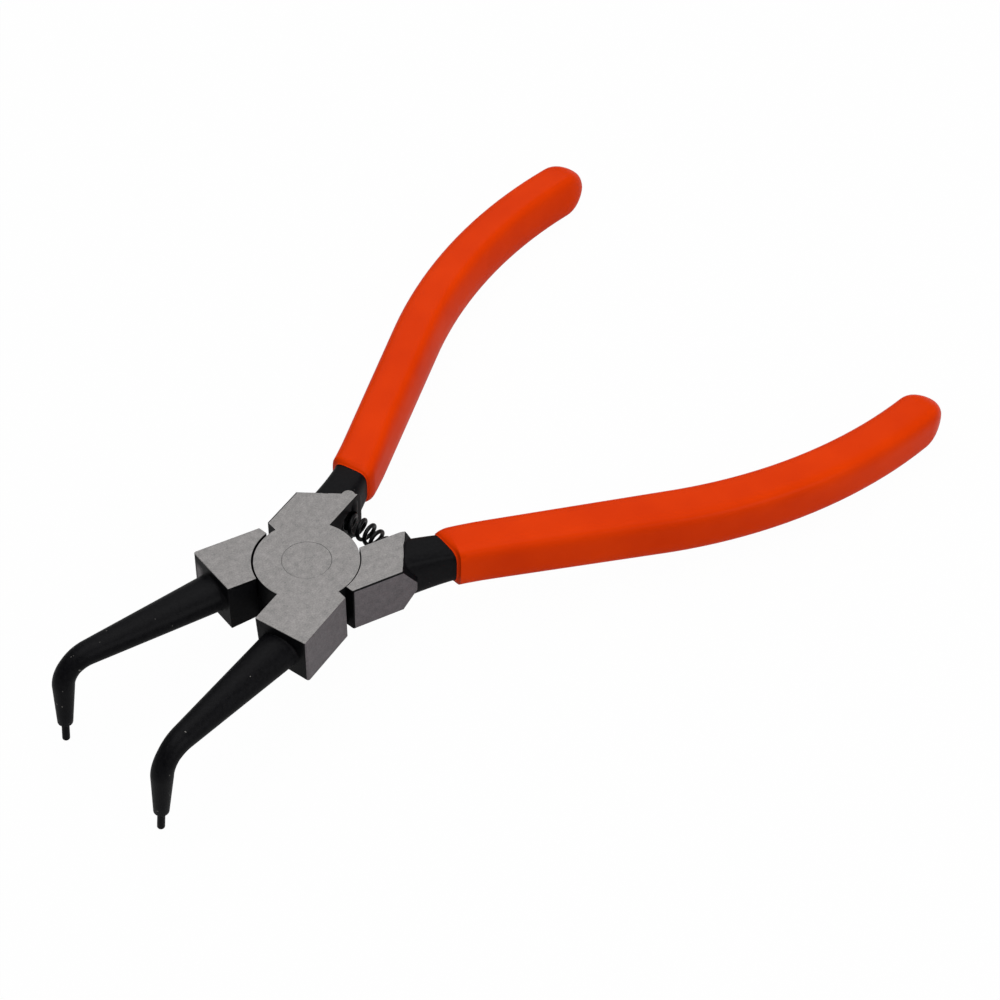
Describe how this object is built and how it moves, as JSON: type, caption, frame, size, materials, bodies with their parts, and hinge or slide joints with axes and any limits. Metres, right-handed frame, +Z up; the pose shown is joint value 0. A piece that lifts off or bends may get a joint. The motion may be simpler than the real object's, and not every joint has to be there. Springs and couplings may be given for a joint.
{
  "type": "circlip pliers",
  "caption": "Bent-nose circlip pliers for internal rings: black forged levers on a ground lap joint, turned pin tips, a coil return spring and orange dipped grips.",
  "frame": {"origin": "centre of the footprint at bench level: the pliers stand on the ends of both tips and the ends of both grips", "axes": "+X from the tips to the handles, +Y towards the upper lever's handle, +Z up from the bench. The joint's axis leans 4.8 degrees from +Z towards +X"},
  "size_m": [0.1786, 0.114, 0.0221],
  "materials": {
    "black_phosphated_steel": "black phosphate on forged chrome-vanadium steel, with the head's faces and outer sides ground bright",
    "orange_pvc": "smooth dipped PVC with a soft gloss",
    "ground_steel": "ground flush with the head's faces",
    "black_spring_wire": "black oiled spring wire"
  },
  "bodies": {
    "upper_half": {"upper_lever": "black_phosphated_steel", "upper_lever_grip": "orange_pvc", "pivot_rivet": "ground_steel", "return_spring": "black_spring_wire"},
    "lower_half": {"lower_lever": "black_phosphated_steel", "lower_lever_grip": "orange_pvc"}
  },
  "joints": [
    {"name": "pivot", "type": "hinge", "parent": "upper_half", "child": "lower_half", "pos_m": [-0.03799, 0, 0.01565], "axis": [0.0832, 0, 0.9965], "range_deg": [-8.5, 28.5], "stiffness_Nm_per_rad": 0.4, "deforming": ["return_spring"]}
  ]
}
